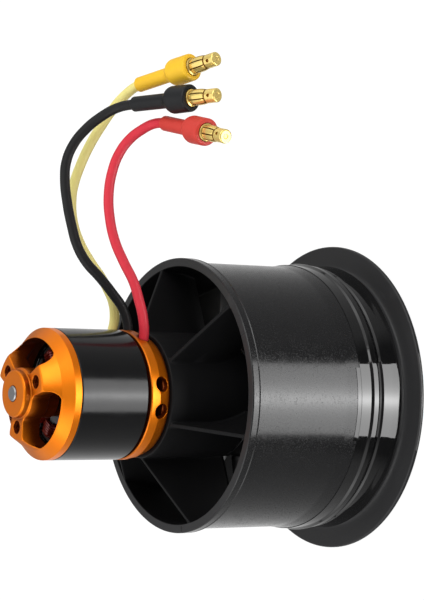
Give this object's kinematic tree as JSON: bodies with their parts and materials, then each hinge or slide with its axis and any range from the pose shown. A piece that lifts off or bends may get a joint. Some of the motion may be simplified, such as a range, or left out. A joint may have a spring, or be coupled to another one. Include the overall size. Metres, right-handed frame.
{
  "type": "electric ducted fan",
  "caption": "Electric ducted fan unit for a model jet: moulded duct with flared inlet lip and guide vanes, bladed fan, outrunner motor with orange bell, and leads with bullet connectors.",
  "frame": {"origin": "centre of the inlet lip's front face, on the surface that the unit stands on", "axes": "+Z along the fan's axis from the inlet to the motor, +X to the side where the leads leave the motor"},
  "size_m": [0.0989, 0.0674, 0.0769],
  "materials": {
    "duct_plastic": "satin moulded nylon",
    "lip_plastic": "smooth moulded nylon",
    "clear_tape": "clear glossy tape",
    "orange_anodised": "orange anodised, satin",
    "black_steel": "black, satin",
    "steel": "ground steel",
    "laminated_steel": "coated laminations",
    "enamelled_wire": "red enamelled copper wire",
    "dark_steel": "blackened steel",
    "brass": "plain brass",
    "magnet": "nickel plated",
    "fan_plastic": "moulded nylon",
    "bare_aluminium": "turned aluminium",
    "red_silicone": "silicone",
    "black_silicone": "silicone",
    "yellow_silicone": "silicone",
    "red_sleeve": "heat-shrunk polyolefin",
    "black_sleeve": "heat-shrunk polyolefin",
    "yellow_sleeve": "heat-shrunk polyolefin",
    "gilt_brass": "gilt"
  },
  "bodies": {
    "duct_unit": {"duct_housing": "duct_plastic", "inlet_lip": "lip_plastic", "seam_tape": "clear_tape", "stator_hub": "duct_plastic", "guide_vanes": "duct_plastic", "motor_base": "orange_anodised", "motor_screws": "steel", "stator_core": "laminated_steel", "windings": "enamelled_wire", "bearing_outer_rings": "steel", "bearing_balls": "steel", "red_lead": "red_silicone", "black_lead": "black_silicone", "yellow_lead": "yellow_silicone", "red_sleeve": "red_sleeve", "black_sleeve": "black_sleeve", "yellow_sleeve": "yellow_sleeve", "red_bullet": "gilt_brass", "black_bullet": "gilt_brass", "yellow_bullet": "gilt_brass"},
    "rotor": {"bearing_inner_rings": "steel", "motor_shaft": "steel", "shaft_circlip": "dark_steel", "thrust_washer": "brass", "rotor_bell": "orange_anodised", "flux_can": "black_steel", "magnets": "magnet", "fan_rotor": "fan_plastic", "fan_adapter": "bare_aluminium", "fan_nut": "steel", "spinner": "bare_aluminium", "spinner_screw": "dark_steel"}
  },
  "joints": [
    {"name": "rotor_spin", "type": "hinge", "parent": "duct_unit", "child": "rotor", "pos_m": [0, 0, 0.058], "axis": [0, 0, 1], "continuous": true}
  ]
}
